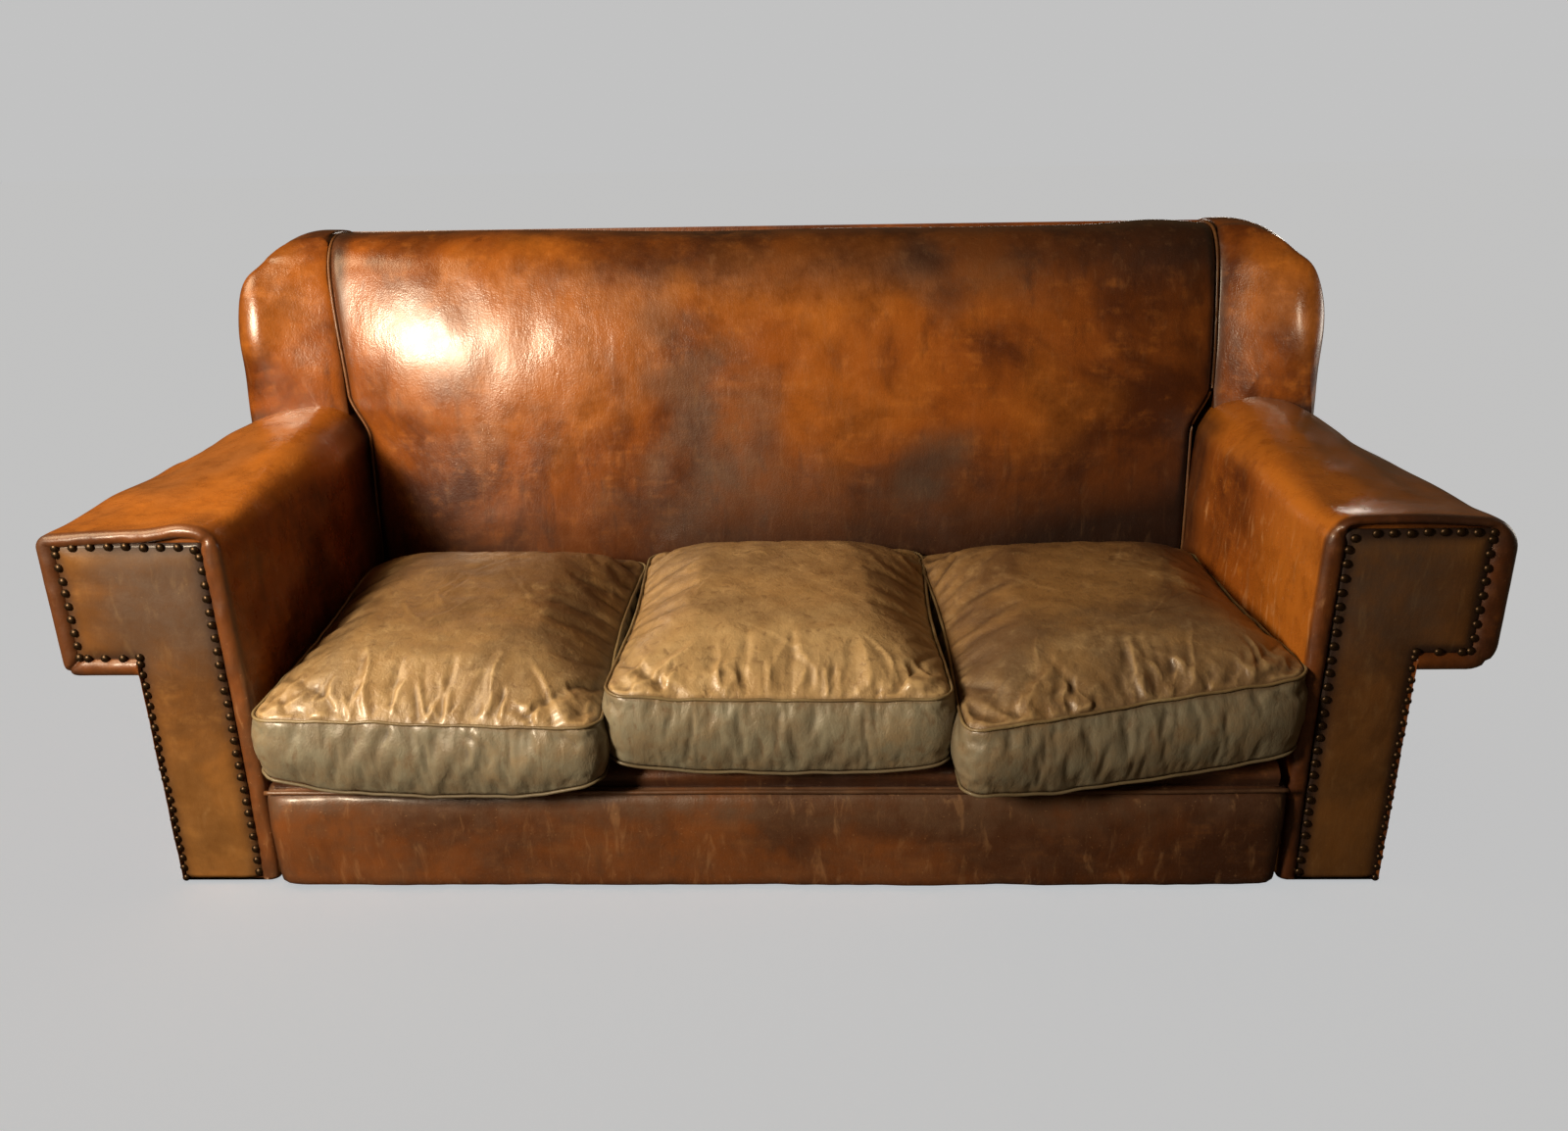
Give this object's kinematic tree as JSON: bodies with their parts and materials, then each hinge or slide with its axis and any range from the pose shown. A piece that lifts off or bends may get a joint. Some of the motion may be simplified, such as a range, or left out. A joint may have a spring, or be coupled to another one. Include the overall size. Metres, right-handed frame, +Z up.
{
  "type": "worn leather sofa",
  "caption": "Low club sofa in worn cognac leather: square flat arms with nailed facings, rounded wings, tight sprung back and loose crumpled seat cushions.",
  "frame": {"origin": "centre of the footprint of the whole sofa, on the floor under the glides", "axes": "+X along the sofa to the right of someone facing its front, +Y to the back, +Z up; the front faces -Y"},
  "size_m": [2.2, 0.9344, 0.981],
  "materials": {
    "leather_body": "waxed and patinated cowhide, cognac brown mottled dark, worn glossy",
    "leather_facing": "stretched smooth cowhide, olive tan, darker at its nailed edge",
    "leather_cushion": "creased taupe and olive cowhide with paler worn crown and piping",
    "beech": "planed, unfinished",
    "fibre_stuffing": "matted fibre and wadding, matt",
    "feather_fill": "feather filled cambric, matt",
    "jute": "woven jute webbing and hessian, matt",
    "black_cambric": "thin woven bottom cloth, matt",
    "spring_steel": "bare drawn wire and pressed plate",
    "bronzed_nail": "antique bronze plated domed heads, rubbed brighter on the crown"
  },
  "bodies": {
    "root": {"left_arm_cover": "leather_body", "left_arm_facing": "leather_facing", "left_outside_arm_cover": "leather_body", "left_arm_stuffing": "fibre_stuffing", "left_arm_front_board": "beech", "left_arm_top_rail": "beech", "left_arm_outer_rail": "beech", "left_arm_tacking_rail": "beech", "left_arm_bottom_rail": "beech", "left_wing_board": "beech", "left_back_slat": "beech", "left_back_post": "beech", "left_side_rail": "beech", "left_stretcher": "beech", "left_wing_cover": "leather_body", "left_wing_stuffing": "fibre_stuffing", "left_spring_unit": "spring_steel", "left_cushion_cover": "leather_cushion", "left_cushion_core": "feather_fill", "front_left_glide": "spring_steel", "rear_left_glide": "spring_steel", "right_arm_cover": "leather_body", "right_arm_facing": "leather_facing", "right_outside_arm_cover": "leather_body", "right_arm_stuffing": "fibre_stuffing", "right_arm_front_board": "beech", "right_arm_top_rail": "beech", "right_arm_outer_rail": "beech", "right_arm_tacking_rail": "beech", "right_arm_bottom_rail": "beech", "right_wing_board": "beech", "right_back_slat": "beech", "right_back_post": "beech", "right_side_rail": "beech", "right_stretcher": "beech", "right_wing_cover": "leather_body", "right_wing_stuffing": "fibre_stuffing", "right_spring_unit": "spring_steel", "right_cushion_cover": "leather_cushion", "right_cushion_core": "feather_fill", "front_right_glide": "spring_steel", "rear_right_glide": "spring_steel", "centre_spring_unit": "spring_steel", "centre_cushion_cover": "leather_cushion", "centre_cushion_core": "feather_fill", "inside_back_cover": "leather_body", "outside_back_cover": "leather_body", "back_stuffing": "fibre_stuffing", "back_webbing": "jute", "back_top_rail": "beech", "back_tacking_rail": "beech", "front_seat_rail": "beech", "back_seat_rail": "beech", "seat_webbing": "jute", "spring_hessian": "jute", "seat_platform_stuffing": "fibre_stuffing", "seat_platform_cover": "leather_body", "front_rail_stuffing": "fibre_stuffing", "front_rail_cover": "leather_body", "bottom_cloth": "black_cambric"}
  },
  "joints": []
}
